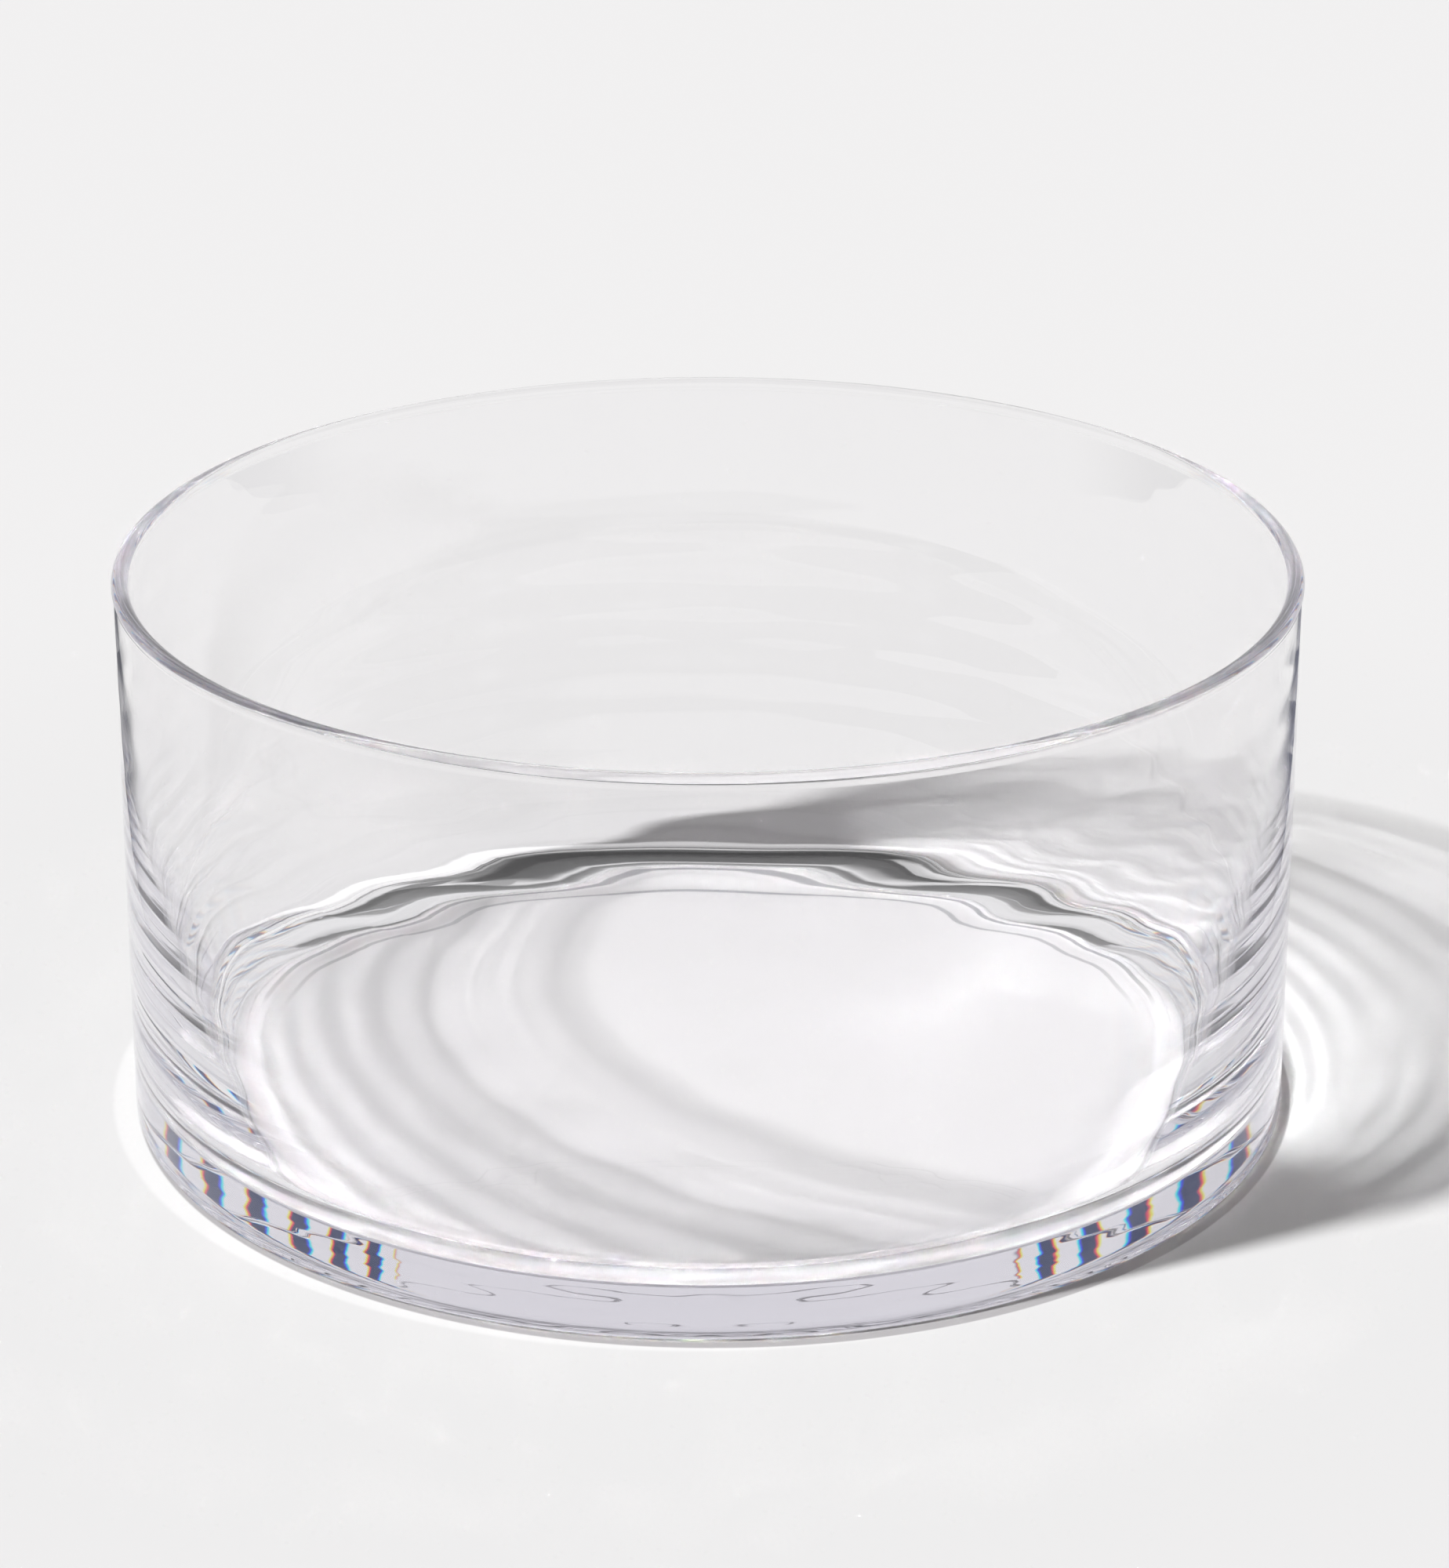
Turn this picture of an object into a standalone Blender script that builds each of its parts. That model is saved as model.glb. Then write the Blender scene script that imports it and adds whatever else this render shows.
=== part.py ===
"""Glass salad bowl: one turned piece of clear glass, with a flat base, an upright wall that
thickens towards the base, and a fire-polished rim.

Metres, +Z up. The origin is on the bowl's axis, at the centre of the flat underside.
"""

import math

import bmesh
import bpy

# Driving dimensions, in metres
RIM_DIAMETER = 0.250  # across the outside of the rim's bead, the widest part
HEIGHT = 0.120  # from the table to the top of the rim
WALL_THICKNESS = 0.0032  # of the upper wall, below the rim's bead
BEAD_PROUD_OUTSIDE = 0.0003  # how far the rim's bead stands out past the outer wall
BEAD_PROUD_INSIDE = 0.0001  # how far the rim's bead stands in past the inner wall
BASE_THICKNESS = 0.0048  # from the table to the inside floor
UPRIGHT_ABOVE = 0.0800  # height from which the inner wall is upright; below it the wall thickens
INSIDE_CURVE_RADIUS = 0.3400  # of the long arc that thickens the wall towards the base
INSIDE_CORNER_RADIUS = 0.0115  # of the arc between the heel and the long arc
HEEL_RADIUS = 0.0180  # of the gentler arc that lifts the edge of the inside floor
HEEL_SLOPE = 33.0  # degrees, where the heel's arc gives way to the corner's
FOOT_RADIUS = 0.0010  # of the rounded edge that runs round the underside

# How finely the round shapes are cut into flats
SIDES = 96  # round the axis
BEAD_STEPS = 4  # in each of the rim's three arcs
HEEL_STEPS = 4
INSIDE_CORNER_STEPS = 6
INSIDE_CURVE_STEPS = 6
FOOT_STEPS = 4
AXIS_MERGE = 1e-5  # points nearer than this to the axis are one point

# Finish of the glass
GLASS_COLOUR = (0.965, 0.972, 0.985, 1.0)
GLASS_ROUGHNESS = 0.02
GLASS_IOR = 1.52

# Sizes that follow from the driving dimensions
OUTER_RADIUS = RIM_DIAMETER / 2 - BEAD_PROUD_OUTSIDE
INNER_RADIUS = OUTER_RADIUS - WALL_THICKNESS
BEAD_RADIUS = (WALL_THICKNESS + BEAD_PROUD_OUTSIDE + BEAD_PROUD_INSIDE) / 2


def clear_scene():
    """Removes every object, so that the bowl stands alone."""
    for item in list(bpy.data.objects):
        bpy.data.objects.remove(item, do_unlink=True)


def arc(centre_r, centre_z, radius, start, end, steps):
    """Points (r, z) along an arc about (centre_r, centre_z), from angle start to angle end."""
    points = []
    for step in range(steps + 1):
        angle = start + (end - start) * step / steps
        points.append((centre_r + radius * math.cos(angle), centre_z + radius * math.sin(angle)))
    return points


def inside_curve():
    """From the floor's edge to the upright wall: heel, corner, then the thickening wall's long arc.

    The heel's circle touches the floor, the corner's circle touches the heel's from within, and it
    also touches the long arc's circle from within.
    """
    slope = math.radians(HEEL_SLOPE)
    step = HEEL_RADIUS - INSIDE_CORNER_RADIUS
    heel_z = BASE_THICKNESS + HEEL_RADIUS
    corner_z = heel_z - step * math.cos(slope)
    curve_r = INNER_RADIUS - INSIDE_CURVE_RADIUS
    drop = UPRIGHT_ABOVE - corner_z
    apart = INSIDE_CURVE_RADIUS - INSIDE_CORNER_RADIUS
    corner_r = curve_r + math.sqrt(apart**2 - drop**2)
    heel_r = corner_r - step * math.sin(slope)
    turn = slope - math.pi / 2
    meet = -math.asin(drop / apart)
    heel = arc(heel_r, heel_z, HEEL_RADIUS, -math.pi / 2, turn, HEEL_STEPS)
    corner = arc(corner_r, corner_z, INSIDE_CORNER_RADIUS, turn, meet, INSIDE_CORNER_STEPS)
    curve = arc(curve_r, UPRIGHT_ABOVE, INSIDE_CURVE_RADIUS, meet, 0.0, INSIDE_CURVE_STEPS)
    return heel + corner[1:] + curve[1:]


def rim_bead():
    """The round rim, from where it leaves the inner wall, over the top, to the outer wall.

    It is drawn in three arcs, so that points fall on its highest and its widest place.
    """
    inner_meets = math.acos((BEAD_RADIUS - BEAD_PROUD_INSIDE) / BEAD_RADIUS)
    outer_meets = math.acos((BEAD_RADIUS - BEAD_PROUD_OUTSIDE) / BEAD_RADIUS)
    stops = (math.pi + inner_meets, math.pi / 2, 0.0, -outer_meets)
    centre_r = RIM_DIAMETER / 2 - BEAD_RADIUS
    centre_z = HEIGHT - BEAD_RADIUS
    points = arc(centre_r, centre_z, BEAD_RADIUS, stops[0], stops[1], BEAD_STEPS)
    for start, end in zip(stops[1:], stops[2:]):
        points += arc(centre_r, centre_z, BEAD_RADIUS, start, end, BEAD_STEPS)[1:]
    return points


def foot_edge():
    """The quarter round from the outer wall down to the flat underside."""
    return arc(
        OUTER_RADIUS - FOOT_RADIUS,
        FOOT_RADIUS,
        FOOT_RADIUS,
        0.0,
        -math.pi / 2,
        FOOT_STEPS,
    )


def bowl_profile():
    """Half the bowl's cross-section as (r, z) points, up the inside and down the outside."""
    floor_centre = [(0.0, BASE_THICKNESS)]
    underside_centre = [(0.0, 0.0)]
    return floor_centre + inside_curve() + rim_bead() + foot_edge() + underside_centre


def clear_glass():
    """Colourless, smooth, fully clear glass."""
    material = bpy.data.materials.new("clear_glass")
    material.use_nodes = True
    shader = material.node_tree.nodes["Principled BSDF"]
    shader.inputs["Base Color"].default_value = GLASS_COLOUR
    shader.inputs["Roughness"].default_value = GLASS_ROUGHNESS
    shader.inputs["Metallic"].default_value = 0.0
    shader.inputs["IOR"].default_value = GLASS_IOR
    shader.inputs["Transmission Weight"].default_value = 1.0
    return material


def turned(name, profile, material):
    """An object made by turning a profile of (r, z) points a full circle about Z."""
    mesh = bpy.data.meshes.new(name)
    outline = bmesh.new()
    points = [outline.verts.new((r, 0.0, z)) for r, z in profile]
    for first, second in zip(points, points[1:]):
        outline.edges.new((first, second))
    outline.to_mesh(mesh)
    outline.free()

    made = bpy.data.objects.new(name, mesh)
    bpy.context.scene.collection.objects.link(made)
    made.data.materials.append(material)

    screw = made.modifiers.new("turn", "SCREW")
    screw.axis = "Z"
    screw.angle = math.tau
    screw.steps = SIDES
    screw.render_steps = SIDES
    screw.use_merge_vertices = True
    screw.merge_threshold = AXIS_MERGE
    screw.use_smooth_shade = True
    return made


def main():
    clear_scene()
    turned("bowl", bowl_profile(), clear_glass())


main()
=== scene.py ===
"""Looks of the glass salad bowl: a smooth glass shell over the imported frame, on a pale table."""

import math

import bpy
import numpy as np
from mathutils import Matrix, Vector


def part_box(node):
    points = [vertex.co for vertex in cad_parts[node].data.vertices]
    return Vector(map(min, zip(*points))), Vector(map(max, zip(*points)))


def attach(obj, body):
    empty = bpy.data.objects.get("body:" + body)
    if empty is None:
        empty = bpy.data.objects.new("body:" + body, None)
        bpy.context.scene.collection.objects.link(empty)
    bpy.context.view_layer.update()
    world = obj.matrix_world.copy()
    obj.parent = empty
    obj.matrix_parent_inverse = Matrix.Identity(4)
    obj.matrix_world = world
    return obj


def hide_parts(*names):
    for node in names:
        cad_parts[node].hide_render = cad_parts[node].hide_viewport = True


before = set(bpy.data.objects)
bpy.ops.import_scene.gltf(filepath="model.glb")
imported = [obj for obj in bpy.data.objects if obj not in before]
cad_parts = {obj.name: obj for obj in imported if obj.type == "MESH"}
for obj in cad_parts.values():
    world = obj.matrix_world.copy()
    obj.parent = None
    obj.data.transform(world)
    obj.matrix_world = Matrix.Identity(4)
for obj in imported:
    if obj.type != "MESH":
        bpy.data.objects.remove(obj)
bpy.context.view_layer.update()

# Sizes of the bowl, in metres; the overall ones come from the frame
BOWL_LOW, BOWL_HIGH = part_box("bowl")
HEIGHT = BOWL_HIGH[2] - BOWL_LOW[2]
RIM_RADIUS = (BOWL_HIGH[0] - BOWL_LOW[0]) / 2
WALL_THICKNESS = 0.0032
BEAD_PROUD_OUTSIDE = 0.0003
BEAD_PROUD_INSIDE = 0.0001
BASE_THICKNESS = 0.0048
HEEL_RADIUS = 0.0180
HEEL_END = math.radians(33.0)
UPRIGHT_ABOVE = 0.0800
INSIDE_CURVE_RADIUS = 0.3400
INSIDE_CORNER_RADIUS = 0.0115
FOOT_INSET = 0.0009
FOOT_RISE = 0.0011
OUTER_RADIUS = RIM_RADIUS - BEAD_PROUD_OUTSIDE
INNER_RADIUS = OUTER_RADIUS - WALL_THICKNESS
BEAD_RADIUS = (WALL_THICKNESS + BEAD_PROUD_OUTSIDE + BEAD_PROUD_INSIDE) / 2

# Slight unevenness of hand-worked glass: rings and flutes in the wall, ripples in the base
RING_HEIGHT = 0.000012
RING_LENGTH = 0.011
RING_SWAY = 1.2  # radians
RING_SWAY_COUNT = 2  # times round the bowl
RING_SWAY_START = 0.7  # radians
FLUTE_HEIGHT = 0.000013
FLUTE_COUNT = 19
FLUTE_LEAN = 70  # radians per metre of height, one way inside and the other way outside
FLUTE_SWAY = 0.8  # radians
FLUTE_SWAY_COUNT = 5  # times round the bowl
OUTSIDE_TURN = 2.1  # radians by which the outside's waves are shifted from the inside's
CALM_EDGE = 0.012
RIPPLE_HEIGHT = 0.000004
RIPPLE_LENGTH = 0.009
RIPPLE_REACH = 0.096
RIPPLE_SHIFT = 150  # radians per metre of height, so that the floor and the underside differ
NEAR_AXIS = 0.001  # keeps a division clear of the axis, where the wall's waves are 0

# How finely the glass is drawn
AROUND = 256
FLOOR_RINGS = 80
HEEL_RINGS = 12
CORNER_RINGS = 16
WALL_RINGS = 36
OUTER_RINGS = 76
BEAD_RINGS = 22
FOOT_RINGS = 12
END_CLOSENESS = 1.6

# The glass, where it is clean and where it is smudged
GLASS_IOR = 1.52
CLEAN_GLASS = (0.975, 0.972, 0.975, 1.0)
SMUDGED_GLASS = (0.955, 0.953, 0.955, 1.0)
SMUDGE_ROUGHNESS = 0.05
SMUDGE_SCALE = 22.0
SMUDGE_STRETCH = (1.0, 1.0, 1.0)
SMUDGE_CUT = (0.56, 0.72)
STREAK_SCALE = 30.0
STREAK_STRETCH = (1.0, 1.0, 0.15)
STREAK_CUT = (0.45, 0.75)
MARKS_DETAIL = 3.0
GLASS_TINT = (0.35, 0.30, 0.50, 1.0)
TINT_DENSITY = 1.6

# The photograph's camera, worked out from the rim's and the base's outlines
IMAGE_HEIGHT = 2000
FOCAL_PIXELS = 6700
SENSOR = 36.0
CAMERA_PITCH = math.radians(22.03)
CAMERA_DISTANCE = 9.0 * RIM_RADIUS
CAMERA_AIM = Vector((0.0277 * RIM_RADIUS, 0.0, HEIGHT - 0.416 * RIM_RADIUS))

# The table, and how its front part looks where glass mirrors it: darker, a painted reflection
TABLE_RADIUS = 3.0
TABLE_THICKNESS = 0.03
TABLE_GAP = 0.0002
TABLE_COLOUR = (0.80, 0.80, 0.80, 1.0)
# Painted shade: the table near the bowl is a little darker than further away
TABLE_NEAR_BOWL = (0.765, 0.765, 0.765, 1.0)
NEAR_REACH = 0.26
NEAR_FADE = 0.24
TABLE_FRONT_MIRRORED = (0.25, 0.25, 0.26, 1.0)
FRONT_EDGE = -0.30
FRONT_FADE = 0.2
MATT_ROUGHNESS = 0.9

# Painted rings on the table just outside the foot: a painted contact shadow and a painted pale halo of
# light
CONTACT_SHADOW = (0.46, 0.45, 0.46, 1.0)
CONTACT_SHADOW_WIDTH = 0.0006
CONTACT_SHADOW_FADE = 0.0006
CONTACT_SHADOW_SHIFT = (0.0012, -0.0018, 0.0)
TABLE_HALO = (0.84, 0.84, 0.84, 1.0)
HALO_WIDTH = 0.0022
HALO_FADE = 0.0015
HALO_SHIFT = (-0.0025, -0.0015, 0.0)

# Painted rings on the table under the bowl: painted shade at both sides, a painted glow of light further in
TABLE_UNDER_BOWL = (0.80, 0.793, 0.797, 1.0)
FOOT_FADE = 0.001
# Painted shade: near black under the foot's edge at both sides of the bowl
PAINTED_CONTACT_SHADE = (0.02, 0.02, 0.03, 1.0)
CONTACT_WIDTH = 0.008
CONTACT_FADE = 0.003
CONTACT_SIDE = 0.80  # distance aside over distance from the axis
CONTACT_SIDE_FADE = 0.4
GLOW_RING = (0.103, 0.117)
GLOW_FADE = 0.003
GLOW_LEVEL = 0.24

# Painted half rings on the table at the back: two lines of painted shade under the bowl, a painted bright
# one just outside the foot
BEHIND_START = 0.25  # distance back over distance from the axis
BEHIND_FADE = 0.4
BACK_LINES = ((0.1036, 0.1050), (0.0977, 0.0989))
BACK_LINE_FADE = 0.0005
# Painted shade: the colour of the two thin dark lines at the back
PAINTED_BACK_LINE_SHADE = (0.40, 0.40, 0.42, 1.0)
BACK_GLOW_RING = (0.1256, 0.1276)
BACK_GLOW_FADE = 0.001
BACK_GLOW_LEVEL = 0.4

# Low dark cards beside the back of the bowl, which show only in light that glass has mirrored
FLAG_ASIDE = 0.19
FLAG_BACK = (0.03, 0.30)
FLAG_HEIGHT = 0.050
FLAG_FADE = 0.12
FLAG_TOP = 0.8 * FLAG_HEIGHT
FLAG_TOP_FADE = 0.01
FLAG_COLOUR = (0.13, 0.135, 0.17, 1.0)

# Light
PALE_BACKGROUND = (0.879, 0.879, 0.879, 1.0)
FILL_LIGHT = (0.292, 0.282, 0.284, 1.0)
FILL_THROUGH_GLASS = 0.40
KEY_ANGLE = math.radians(4.2)
KEY_STRENGTH = 3.35
KEY_THROUGH_GLASS = 1.05
KEY_ELEVATION = math.radians(49.5)
KEY_FRONTWARDS = math.radians(27)
AT_LEAST_ONE = 0.5  # a count of bounces above this is one or more
LONGEST_PATH = 96
MOST_CROSSINGS = 64

# The studio that the glass shows: gaps overhead as places on a level plane one unit up (centre, half
# size, turn in degrees, depth of the dark), a pale panel before them, and posts at both sides, by distance
# back over distance aside (the first post, the spacing)
STUDIO_LEVEL = 0.88
CEILING_GAPS = (
    ((0.0, 0.20), (1.30, 0.38), 0, 0.95),
    ((0.0, -0.71), (1.00, 0.45), 0, 0.95),
    ((1.06, -0.22), (0.15, 0.32), 28, 0.75),
    ((0.55, -0.12), (0.07, 0.26), 10, 0.6),
    ((-0.78, 0.11), (0.17, 0.10), 25, 0.6),
    ((-1.15, -0.46), (0.32, 0.08), -12, 0.6),
)
PALE_PANEL = ((-0.30, 0.42), (0.10, 0.12), 0)
PANEL_SOFTNESS = 0.25
CORNER_POWER = 4.0
SMALLEST_PART = 0.05  # of a direction, which keeps divisions by it finite
LEFT_POSTS = (0.55, 0.36)
RIGHT_POSTS = (0.52, 0.306)
POST_END = 2.3
POST_ROW_FADE = 0.05
POST_WIDTH = 0.42
POST_FADE = 0.06
POST_FRINGE = 0.05
POST_TOP = 0.65
POST_TOP_FADE = 0.1
POST_DEPTH = (0.95, 0.93, 0.84)


# Shape of the bowl


def arc(centre_r, centre_z, radius, start, end, count):
    """Points (r, z) on an arc: centre plus radius times (cos, sin) of angles evenly from start to end."""
    angle = np.linspace(start, end, count)
    return np.column_stack([centre_r + radius * np.cos(angle), centre_z + radius * np.sin(angle)])


def straight(start, end, count):
    """Points (r, z) on a straight line, close together near its ends, as a hyperbolic tangent spaces them.

    The close rings keep the shading of the flat stretch clear of the curve that it runs into.
    """
    steps = np.tanh(END_CLOSENESS * np.linspace(-1.0, 1.0, count)) / np.tanh(END_CLOSENESS)
    share = (0.5 + 0.5 * steps)[:, None]
    return np.asarray(start) * (1 - share) + np.asarray(end) * share


def inside_profile(bead_start):
    """The inside as (r, z) points: flat floor, heel arc, corner arc, long arc of the wall, upright wall.

    Each arc starts in the direction in which the one before it ends, so the corner's centre lies on
    the line from the heel's centre to their joint. The corner touches the long arc's circle from
    within, so the distance of their centres is the difference of their radii.
    """
    step = HEEL_RADIUS - INSIDE_CORNER_RADIUS
    heel_z = BASE_THICKNESS + HEEL_RADIUS
    corner_z = heel_z - step * math.cos(HEEL_END)
    curve_r = INNER_RADIUS - INSIDE_CURVE_RADIUS
    drop = UPRIGHT_ABOVE - corner_z
    apart = INSIDE_CURVE_RADIUS - INSIDE_CORNER_RADIUS
    corner_r = curve_r + math.sqrt(apart**2 - drop**2)
    heel_r = corner_r - step * math.sin(HEEL_END)
    down = -math.pi / 2
    meet = -math.asin(drop / apart)
    floor = straight((0.0, BASE_THICKNESS), (heel_r, BASE_THICKNESS), FLOOR_RINGS)
    heel = arc(heel_r, heel_z, HEEL_RADIUS, down, down + HEEL_END, HEEL_RINGS)
    corner = arc(corner_r, corner_z, INSIDE_CORNER_RADIUS, down + HEEL_END, meet, CORNER_RINGS)
    curve = arc(curve_r, UPRIGHT_ABOVE, INSIDE_CURVE_RADIUS, meet, 0.0, WALL_RINGS)
    upright = straight(curve[-1], bead_start, WALL_RINGS)
    return np.vstack([floor, heel[1:], corner[1:], curve[1:], upright[1:]])


def foot_profile():
    """The edge between outer wall and underside: a quarter of an upright ellipse."""
    angle = np.linspace(0.0, math.pi / 2, FOOT_RINGS)
    inset = FOOT_INSET * (1 - np.cos(angle))
    rise = FOOT_RISE * (1 - np.sin(angle))
    return np.column_stack([OUTER_RADIUS - inset, rise])


def bowl_profile():
    """Half the cross-section: inside from the floor up, bead, outer wall, foot, underside."""
    bead_r = RIM_RADIUS - BEAD_RADIUS
    bead_z = HEIGHT - BEAD_RADIUS
    inner_meets = math.acos(1 - BEAD_PROUD_INSIDE / BEAD_RADIUS)
    outer_meets = math.acos(1 - BEAD_PROUD_OUTSIDE / BEAD_RADIUS)
    bead = arc(bead_r, bead_z, BEAD_RADIUS, math.pi + inner_meets, -outer_meets, BEAD_RINGS)
    inside = inside_profile(bead[0])
    foot = foot_profile()
    outer_wall = straight(bead[-1], foot[0], OUTER_RINGS)
    underside = straight(foot[-1], (0.0, 0.0), FLOOR_RINGS)
    return np.vstack([inside, bead[1:], outer_wall[1:], foot[1:], underside[1:]])


def smooth_rise(value):
    """0 below 0, 1 above 1, and three squares less two cubes of the value between."""
    share = np.clip(value, 0.0, 1.0)
    return share * share * (3 - 2 * share)


def uneven(vertices):
    """The vertices moved a little, as the surface of hand-worked glass is.

    Walls move along the radius by a sine of the height, whose phase sways round the bowl, plus a sine
    of the angle that leans with the height and sways too. Both fade out towards the rim and the base.
    The floor and the underside rise by one plus a cosine of the radius, which fades out before the heel.
    """
    x, y, z = vertices.T
    r = np.hypot(x, y)
    angle = np.arctan2(y, x)
    inner = r < (INNER_RADIUS + OUTER_RADIUS) / 2
    turn = np.where(inner, 0.0, OUTSIDE_TURN)
    ring_sway = RING_SWAY * np.sin(RING_SWAY_COUNT * angle + RING_SWAY_START + turn)
    rings = np.sin(math.tau * z / RING_LENGTH + ring_sway + turn)
    lean = FLUTE_LEAN * z * np.where(inner, 1.0, -1.0)
    flute_sway = FLUTE_SWAY * np.sin(FLUTE_SWAY_COUNT * angle)
    flutes = np.sin(FLUTE_COUNT * angle + lean + flute_sway + turn)
    above_base = smooth_rise((z - BASE_THICKNESS) / CALM_EDGE)
    below_rim = smooth_rise((HEIGHT - 2 * BEAD_RADIUS - z) / CALM_EDGE)
    outwards = above_base * below_rim * (RING_HEIGHT * rings + FLUTE_HEIGHT * flutes)
    grow = 1 + outwards / np.maximum(r, NEAR_AXIS)
    ripple = RIPPLE_HEIGHT * (1 + np.cos(math.tau * r / RIPPLE_LENGTH + RIPPLE_SHIFT * z))
    flat = smooth_rise((RIPPLE_REACH - r) / RIPPLE_LENGTH)
    return np.column_stack([x * grow, y * grow, z + ripple * flat])


def turned_vertices(profile):
    """The profile's rings of vertices, then one vertex for each of its two ends, which lie on the axis."""
    angle = np.linspace(0.0, math.tau, AROUND, endpoint=False)
    rings = profile[1:-1]
    r, a = np.meshgrid(rings[:, 0], angle, indexing="ij")
    z = np.repeat(rings[:, 1][:, None], AROUND, axis=1)
    grid = np.stack([r * np.cos(a), r * np.sin(a), z], axis=-1).reshape(-1, 3)
    first_pole = [0.0, 0.0, profile[0, 1]]
    last_pole = [0.0, 0.0, profile[-1, 1]]
    return np.vstack([grid, [first_pole, last_pole]])


def turned_faces(ring_count):
    """Four-sided faces between neighbouring rings, and a fan of triangles at each of the two ends."""
    column = np.arange(AROUND)
    after = (column + 1) % AROUND
    row = np.arange(ring_count - 1)[:, None] * AROUND
    quads = np.stack([row + AROUND + column, row + AROUND + after, row + after, row + column], axis=-1)
    last_row = (ring_count - 1) * AROUND
    first_pole = ring_count * AROUND
    first_fan = np.column_stack([column, after, np.full(AROUND, first_pole)])
    last_fan = np.column_stack([last_row + after, last_row + column, np.full(AROUND, first_pole + 1)])
    return quads.reshape(-1, 4).tolist() + first_fan.tolist() + last_fan.tolist()


def new_piece(name, vertices, faces):
    """A new object in the scene, with flat faces."""
    mesh = bpy.data.meshes.new(name)
    mesh.from_pydata(vertices, [], faces)
    mesh.shade_flat()
    mesh.update()
    piece = bpy.data.objects.new(name, mesh)
    bpy.context.scene.collection.objects.link(piece)
    return piece


def turned_surface(name, profile, shaped):
    """A closed surface: each profile point (r, z) goes to (r cos a, r sin a, z) for angles a all round.

    The first and last points lie on the axis, so each is one vertex, joined to its ring by triangles.
    The function shaped then moves the vertices.
    """
    vertices = shaped(turned_vertices(profile))
    return new_piece(name, vertices.tolist(), turned_faces(len(profile) - 2))


# Small helpers for nodes


def new_material(name):
    """A material of the given name, with its node tree and its shader."""
    material = bpy.data.materials.new(name)
    material.use_nodes = True
    tree = material.node_tree
    return material, tree, tree.nodes["Principled BSDF"]


def object_position(tree):
    """The position in the object's own coordinates."""
    return tree.nodes.new("ShaderNodeTexCoord").outputs["Object"]


def axes_of(tree, vector):
    """The X, Y and Z of a vector, by name."""
    node = tree.nodes.new("ShaderNodeSeparateXYZ")
    tree.links.new(vector, node.inputs["Vector"])
    return node.outputs


def math_node(tree, operation, first, second=None, third=None):
    """A math node; each input is a number or another node's output socket."""
    node = tree.nodes.new("ShaderNodeMath")
    node.operation = operation
    for socket, value in zip(node.inputs, (first, second, third)):
        if value is None:
            continue
        if isinstance(value, (int, float)):
            socket.default_value = value
        else:
            tree.links.new(value, socket)
    return node.outputs[0]


def times(tree, first, second):
    """The product of two values."""
    return math_node(tree, "MULTIPLY", first, second)


def opposite(tree, value):
    """One less the value."""
    return math_node(tree, "SUBTRACT", 1.0, value)


def soft_step(tree, value, edge, width):
    """0 below edge and 1 above it, rising smoothly over width."""
    node = tree.nodes.new("ShaderNodeMapRange")
    node.interpolation_type = "SMOOTHSTEP"
    tree.links.new(value, node.inputs["Value"])
    node.inputs["From Min"].default_value = edge - width / 2
    node.inputs["From Max"].default_value = edge + width / 2
    return node.outputs["Result"]


def between(tree, value, limits, width):
    """1 between the low and the high limit and 0 outside them, with soft edges of the given width."""
    low, high = limits
    above = soft_step(tree, value, low, width)
    below = opposite(tree, soft_step(tree, value, high, width))
    return times(tree, above, below)


def mix_colour(tree, factor, first, second):
    """The first colour where factor is 0 and the second where it is 1; each is a colour or a socket."""
    node = tree.nodes.new("ShaderNodeMix")
    node.data_type = "RGBA"
    tree.links.new(factor, node.inputs["Factor"])
    for name, value in (("A", first), ("B", second)):
        if isinstance(value, tuple):
            node.inputs[name].default_value = value
        else:
            tree.links.new(value, node.inputs[name])
    return node.outputs["Result"]


def vector_measure(tree, operation, vector, other):
    """A value worked out from a vector and a fixed one, such as their distance."""
    node = tree.nodes.new("ShaderNodeVectorMath")
    node.operation = operation
    tree.links.new(vector, node.inputs[0])
    node.inputs[1].default_value = other
    return node.outputs["Value"]


def mirrored_light(tree):
    """1 for light that glass has mirrored at least once on its way, 0 for other light."""
    path = tree.nodes.new("ShaderNodeLightPath")
    return math_node(tree, "GREATER_THAN", path.outputs["Glossy Depth"], AT_LEAST_ONE)


def make_matt(shader):
    """Takes the shine off a shader."""
    shader.inputs["Roughness"].default_value = MATT_ROUGHNESS
    shader.inputs["Specular IOR Level"].default_value = 0.0


# The bowl


def noise_mask(tree, scale, stretch, cut):
    """Soft patches from 0 to 1: noise over the object's own coordinates, cut between two levels."""
    place = tree.nodes.new("ShaderNodeMapping")
    place.inputs["Scale"].default_value = stretch
    noise = tree.nodes.new("ShaderNodeTexNoise")
    noise.inputs["Scale"].default_value = scale
    noise.inputs["Detail"].default_value = MARKS_DETAIL
    tree.links.new(object_position(tree), place.inputs["Vector"])
    tree.links.new(place.outputs["Vector"], noise.inputs["Vector"])
    low, high = cut
    return soft_step(tree, noise.outputs["Fac"], (low + high) / 2, high - low)


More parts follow.
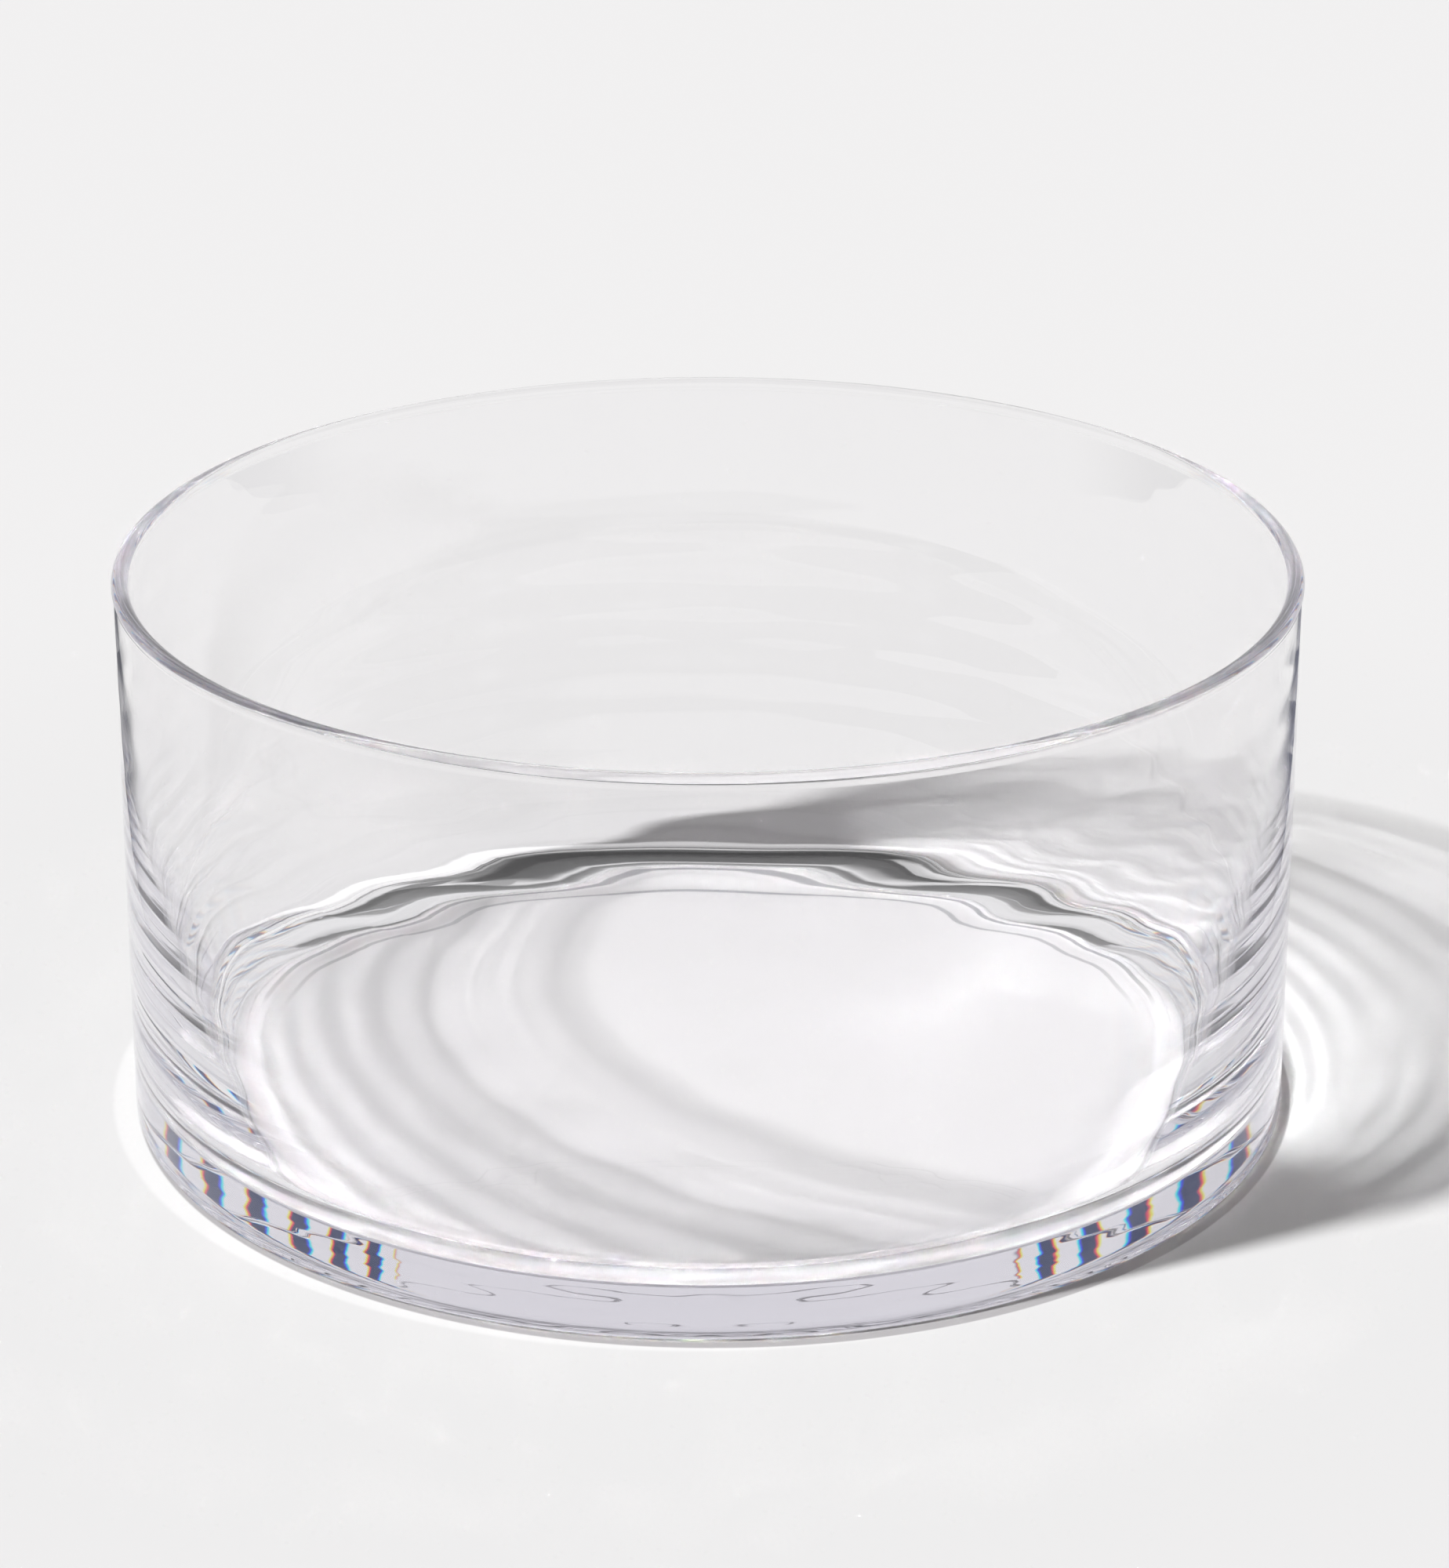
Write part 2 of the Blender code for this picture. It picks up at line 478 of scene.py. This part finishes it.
def glass_material():
    """Clear glass, faintly cool where it is thick, with faint smudges in upright streaks on its surface."""
    material, tree, shader = new_material("clear_glass")
    shader.inputs["IOR"].default_value = GLASS_IOR
    shader.inputs["Transmission Weight"].default_value = 1.0
    smudge = noise_mask(tree, SMUDGE_SCALE, SMUDGE_STRETCH, SMUDGE_CUT)
    streak = noise_mask(tree, STREAK_SCALE, STREAK_STRETCH, STREAK_CUT)
    marks = times(tree, smudge, streak)
    tree.links.new(mix_colour(tree, marks, CLEAN_GLASS, SMUDGED_GLASS), shader.inputs["Base Color"])
    tree.links.new(times(tree, marks, SMUDGE_ROUGHNESS), shader.inputs["Roughness"])
    tint = tree.nodes.new("ShaderNodeVolumeAbsorption")
    tint.inputs["Color"].default_value = GLASS_TINT
    tint.inputs["Density"].default_value = TINT_DENSITY
    tree.links.new(tint.outputs["Volume"], tree.nodes["Material Output"].inputs["Volume"])
    return material


def make_bowl():
    """The glass shell, in place of the plain solid."""
    bowl = turned_surface("bowl_glass", bowl_profile(), uneven)
    bowl.data.shade_smooth()
    bowl.data.materials.append(glass_material())
    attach(bowl, "root")
    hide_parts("bowl")


# The table


def open_table_colour(tree, position, from_axis):
    """The table outside the foot: painted contact shadow, painted halo of light, a little darker near the
    bowl as painted shade, then plain.
    """
    from_shadow = vector_measure(tree, "DISTANCE", position, CONTACT_SHADOW_SHIFT)
    from_halo = vector_measure(tree, "DISTANCE", position, HALO_SHIFT)
    shadow = soft_step(tree, from_shadow, OUTER_RADIUS + CONTACT_SHADOW_WIDTH, CONTACT_SHADOW_FADE)
    halo = soft_step(tree, from_halo, OUTER_RADIUS + HALO_WIDTH, HALO_FADE)
    away = soft_step(tree, from_axis, NEAR_REACH, NEAR_FADE)
    near = mix_colour(tree, halo, TABLE_HALO, TABLE_NEAR_BOWL)
    lit = mix_colour(tree, away, near, TABLE_COLOUR)
    return mix_colour(tree, shadow, CONTACT_SHADOW, lit)


def painted_contact_shade_mask(tree, from_axis, x):
    """Where shade is painted: 1 under the foot's edge at both sides of the bowl, and 0 elsewhere inside the
    foot.
    """
    aside = math_node(tree, "DIVIDE", math_node(tree, "ABSOLUTE", x), from_axis)
    edge = soft_step(tree, from_axis, OUTER_RADIUS - CONTACT_WIDTH, CONTACT_FADE)
    return times(tree, edge, soft_step(tree, aside, CONTACT_SIDE, CONTACT_SIDE_FADE))


def painted_back_lines_mask(tree, from_axis, behind):
    """Where dark lines of shade are painted: 1 on the two thin lines at the back, and 0 elsewhere."""
    outer_line, inner_line = (between(tree, from_axis, limits, BACK_LINE_FADE) for limits in BACK_LINES)
    return times(tree, math_node(tree, "MAXIMUM", outer_line, inner_line), behind)


def table_glow(tree, from_axis, behind, dark):
    """How strongly the table glows, as painted light: a ring under the bowl, less the places of painted
    shade, and a line at the back.
    """
    ring = between(tree, from_axis, GLOW_RING, GLOW_FADE)
    dimmed = math_node(tree, "SUBTRACT", GLOW_LEVEL, dark)
    glow = math_node(tree, "MAXIMUM", times(tree, ring, dimmed), 0.0)
    back_ring = between(tree, from_axis, BACK_GLOW_RING, BACK_GLOW_FADE)
    back_glow = times(tree, times(tree, back_ring, behind), BACK_GLOW_LEVEL)
    return math_node(tree, "ADD", glow, back_glow)


def table_material():
    """Pale matt table with rings round the bowl's axis.

    A painted soft contact shadow and a painted pale halo of light lie just outside the foot. Under the
    foot's edge painted shade makes the table dark at both sides of the bowl, where the rim and the wall
    show it, and a ring further in glows a little, as painted light. At the back lie two thin dark lines of
    painted shade, which the floor's edge shows, and a painted bright line behind the foot. The table's
    front part is darker where glass mirrors it, a painted reflection.
    """
    material, tree, shader = new_material("table_white")
    position = object_position(tree)
    axes = axes_of(tree, position)
    from_axis = vector_measure(tree, "DISTANCE", position, (0.0, 0.0, 0.0))
    behind = soft_step(tree, math_node(tree, "DIVIDE", axes["Y"], from_axis), BEHIND_START, BEHIND_FADE)
    # Painted shade under the foot's edge, at both sides of the bowl
    contact = painted_contact_shade_mask(tree, from_axis, axes["X"])
    # Painted shade: two thin dark lines at the back
    lines = painted_back_lines_mask(tree, from_axis, behind)
    under = mix_colour(tree, contact, TABLE_UNDER_BOWL, PAINTED_CONTACT_SHADE)
    lined = mix_colour(tree, lines, under, PAINTED_BACK_LINE_SHADE)
    foot = soft_step(tree, from_axis, OUTER_RADIUS - FOOT_INSET, FOOT_FADE)
    plain = mix_colour(tree, foot, lined, open_table_colour(tree, position, from_axis))
    front = opposite(tree, soft_step(tree, axes["Y"], FRONT_EDGE, FRONT_FADE))
    # Painted reflection: the table's front is darker in mirrored light only
    mirrored = times(tree, front, mirrored_light(tree))
    colour = mix_colour(tree, mirrored, plain, TABLE_FRONT_MIRRORED)
    glow = table_glow(tree, from_axis, behind, math_node(tree, "MAXIMUM", contact, lines))
    tree.links.new(colour, shader.inputs["Base Color"])
    tree.links.new(glow, shader.inputs["Emission Strength"])
    make_matt(shader)
    return material


def make_table():
    """A flat pale table top."""
    profile = np.array([
        (0.0, -TABLE_GAP),
        (TABLE_RADIUS, -TABLE_GAP),
        (TABLE_RADIUS, -TABLE_THICKNESS),
        (0.0, -TABLE_THICKNESS),
    ])
    table = turned_surface("table", profile, np.asarray)
    table.data.materials.append(table_material())


# The flags


def flag_material():
    """Dark matt card in mirrored light, and nothing in other light, with soft near and top edges."""
    material, tree, shader = new_material("flag_card")
    clear = tree.nodes.new("ShaderNodeBsdfTransparent")
    mix = tree.nodes.new("ShaderNodeMixShader")
    axes = axes_of(tree, object_position(tree))
    fade = soft_step(tree, axes["Y"], FLAG_BACK[0] + FLAG_FADE / 2, FLAG_FADE)
    below = opposite(tree, soft_step(tree, axes["Z"], FLAG_TOP, FLAG_TOP_FADE))
    shown = times(tree, times(tree, fade, below), mirrored_light(tree))
    tree.links.new(shown, mix.inputs["Fac"])
    tree.links.new(clear.outputs["BSDF"], mix.inputs[1])
    tree.links.new(shader.outputs["BSDF"], mix.inputs[2])
    tree.links.new(mix.outputs["Shader"], tree.nodes["Material Output"].inputs["Surface"])
    shader.inputs["Base Color"].default_value = FLAG_COLOUR
    make_matt(shader)
    return material


def make_flag(name, aside, material):
    """A low upright card beside the bowl's back, which darkens the edges of the glass."""
    near, far = FLAG_BACK
    corners = [(aside, near, 0.0), (aside, far, 0.0), (aside, far, FLAG_HEIGHT), (aside, near, FLAG_HEIGHT)]
    flag = new_piece(name, corners, [(0, 1, 2, 3)])
    flag.data.materials.append(material)
    flag.visible_camera = False
    flag.visible_diffuse = False
    flag.visible_shadow = False


def make_flags():
    """One card at the left and one at the right."""
    material = flag_material()
    make_flag("left_flag", -FLAG_ASIDE, material)
    make_flag("right_flag", FLAG_ASIDE, material)


# The studio and its light


def panel_mask(tree, across, along, centre, half_size, turn):
    """1 inside a turned rectangle with rounded corners on a plane, and 0 outside it.

    Its edge is where the fourth powers of the distances, as shares of the half sizes, add up to one.
    """
    cosine = math.cos(math.radians(turn))
    sine = math.sin(math.radians(turn))
    from_x = math_node(tree, "SUBTRACT", across, centre[0])
    from_y = math_node(tree, "SUBTRACT", along, centre[1])
    side = math_node(tree, "MULTIPLY_ADD", from_x, cosine, times(tree, from_y, sine))
    ahead = math_node(tree, "MULTIPLY_ADD", from_y, cosine, times(tree, from_x, -sine))
    side_power = math_node(tree, "POWER", math_node(tree, "ABSOLUTE", side), CORNER_POWER)
    ahead_power = math_node(tree, "POWER", math_node(tree, "ABSOLUTE", ahead), CORNER_POWER)
    ahead_share = times(tree, ahead_power, half_size[1] ** -CORNER_POWER)
    total = math_node(tree, "MULTIPLY_ADD", side_power, half_size[0] ** -CORNER_POWER, ahead_share)
    reach = math_node(tree, "POWER", total, 1 / CORNER_POWER)
    return opposite(tree, soft_step(tree, reach, 1.0, PANEL_SOFTNESS))


def ceiling_gaps(tree, x, y, z):
    """The dark gaps overhead, from 0 to 1, by direction, without the place of the pale panel."""
    height = math_node(tree, "MAXIMUM", z, SMALLEST_PART)
    across = math_node(tree, "DIVIDE", x, height)
    along = math_node(tree, "DIVIDE", y, height)
    dark = 0.0
    for centre, half_size, turn, depth in CEILING_GAPS:
        gap = panel_mask(tree, across, along, centre, half_size, turn)
        dark = math_node(tree, "MAXIMUM", times(tree, gap, depth), dark)
    pale = panel_mask(tree, across, along, *PALE_PANEL)
    return times(tree, dark, opposite(tree, pale))


def post_colours(tree, x, y, z):
    """The dark posts at both sides, from 0 to 1, for red, green and blue, which are a little apart."""
    aside = math_node(tree, "MAXIMUM", math_node(tree, "ABSOLUTE", x), SMALLEST_PART)
    beside = math_node(tree, "DIVIDE", y, aside)
    right = math_node(tree, "GREATER_THAN", x, 0.0)
    start = math_node(tree, "MULTIPLY_ADD", right, RIGHT_POSTS[0] - LEFT_POSTS[0], LEFT_POSTS[0])
    spacing = math_node(tree, "MULTIPLY_ADD", right, RIGHT_POSTS[1] - LEFT_POSTS[1], LEFT_POSTS[1])
    turns = math_node(tree, "DIVIDE", math_node(tree, "SUBTRACT", beside, start), spacing)
    row = between(tree, beside, (LEFT_POSTS[0] - LEFT_POSTS[1] / 2, POST_END), POST_ROW_FADE)
    tall = opposite(tree, soft_step(tree, z, POST_TOP, POST_TOP_FADE))
    shown = times(tree, row, tall)
    colours = []
    for shift, depth in zip((-POST_FRINGE, 0.0, POST_FRINGE), POST_DEPTH):
        part = math_node(tree, "FRACT", math_node(tree, "ADD", turns, shift))
        place = math_node(tree, "ABSOLUTE", math_node(tree, "SUBTRACT", part, 0.5))
        post = soft_step(tree, place, 0.5 - POST_WIDTH / 2, POST_FADE)
        colours.append(times(tree, times(tree, post, shown), depth))
    return colours


def studio_colour(tree, direction):
    """What the glass shows in each direction: pale, dark gaps overhead and dark posts at the sides."""
    axes = axes_of(tree, direction)
    x, y, z = (axes[name] for name in ("X", "Y", "Z"))
    gaps = ceiling_gaps(tree, x, y, z)
    colour = tree.nodes.new("ShaderNodeCombineColor")
    for socket, post in zip(colour.inputs, post_colours(tree, x, y, z)):
        dark = math_node(tree, "MAXIMUM", gaps, post)
        level = math_node(tree, "MULTIPLY_ADD", dark, -STUDIO_LEVEL, STUDIO_LEVEL)
        tree.links.new(level, socket)
    return colour.outputs["Color"]


def key_direction():
    """From the bowl towards the key light: at the left, a little in front and high up."""
    level = math.cos(KEY_ELEVATION)
    return Vector((
        -level * math.cos(KEY_FRONTWARDS),
        -level * math.sin(KEY_FRONTWARDS),
        math.sin(KEY_ELEVATION),
    ))


def key_disc(tree, direction):
    """The key light as the table meets it through glass: a small bright round, on an even fill."""
    towards = vector_measure(tree, "DOT_PRODUCT", direction, key_direction())
    edge = math.cos(KEY_ANGLE / 2)
    brightness = KEY_THROUGH_GLASS * KEY_STRENGTH / (math.tau * (1 - edge))
    inside = math_node(tree, "GREATER_THAN", towards, edge)
    return math_node(tree, "MULTIPLY_ADD", inside, brightness, FILL_THROUGH_GLASS)


def make_world():
    """The studio: what the glass shows of it, the light that it gives, and the plain background."""
    world = bpy.data.worlds.new("studio")
    bpy.context.scene.world = world
    world.use_nodes = True
    tree = world.node_tree
    direction = tree.nodes.new("ShaderNodeTexCoord").outputs["Generated"]
    path = tree.nodes.new("ShaderNodeLightPath").outputs
    bent = math_node(tree, "MAXIMUM", path["Is Glossy Ray"], path["Is Transmission Ray"])
    to_table = math_node(tree, "GREATER_THAN", path["Diffuse Depth"], AT_LEAST_ONE)
    plain = mix_colour(tree, path["Is Camera Ray"], FILL_LIGHT, PALE_BACKGROUND)
    light = mix_colour(tree, path["Is Transmission Ray"], FILL_LIGHT, key_disc(tree, direction))
    through = mix_colour(tree, to_table, studio_colour(tree, direction), light)
    shown = mix_colour(tree, bent, plain, through)
    tree.links.new(shown, tree.nodes["Background"].inputs["Color"])


def make_key_light():
    """A far light, which the glass doesn't show; what it sends through the glass comes from the world."""
    data = bpy.data.lights.new("key", "SUN")
    data.angle = KEY_ANGLE
    data.energy = KEY_STRENGTH
    key = bpy.data.objects.new("key", data)
    key.visible_glossy = False
    key.visible_transmission = False
    key.rotation_mode = "QUATERNION"
    key.rotation_quaternion = key_direction().to_track_quat("Z", "Y")
    bpy.context.scene.collection.objects.link(key)


# The camera and the light paths


def make_camera():
    """The camera, level from side to side and looking down on the bowl along +Y."""
    data = bpy.data.cameras.new("camera")
    data.sensor_width = SENSOR
    data.lens = FOCAL_PIXELS / IMAGE_HEIGHT * SENSOR
    camera = bpy.data.objects.new("camera", data)
    back = Vector((0.0, -math.cos(CAMERA_PITCH), math.sin(CAMERA_PITCH)))
    camera.location = CAMERA_AIM + back * CAMERA_DISTANCE
    camera.rotation_euler = (math.pi / 2 - CAMERA_PITCH, 0.0, 0.0)
    bpy.context.scene.collection.objects.link(camera)
    bpy.context.scene.camera = camera


def set_light_paths():
    """Long light paths, because light crosses the thick base many times, and plain picture colours."""
    cycles = bpy.context.scene.cycles
    cycles.max_bounces = LONGEST_PATH
    cycles.transmission_bounces = MOST_CROSSINGS
    cycles.glossy_bounces = LONGEST_PATH
    cycles.blur_glossy = 0.0
    cycles.sample_clamp_indirect = 0.0
    cycles.use_guiding = True
    bpy.context.scene.view_settings.view_transform = "Standard"


make_bowl()
make_table()
make_flags()
make_world()
make_key_light()
make_camera()
set_light_paths()
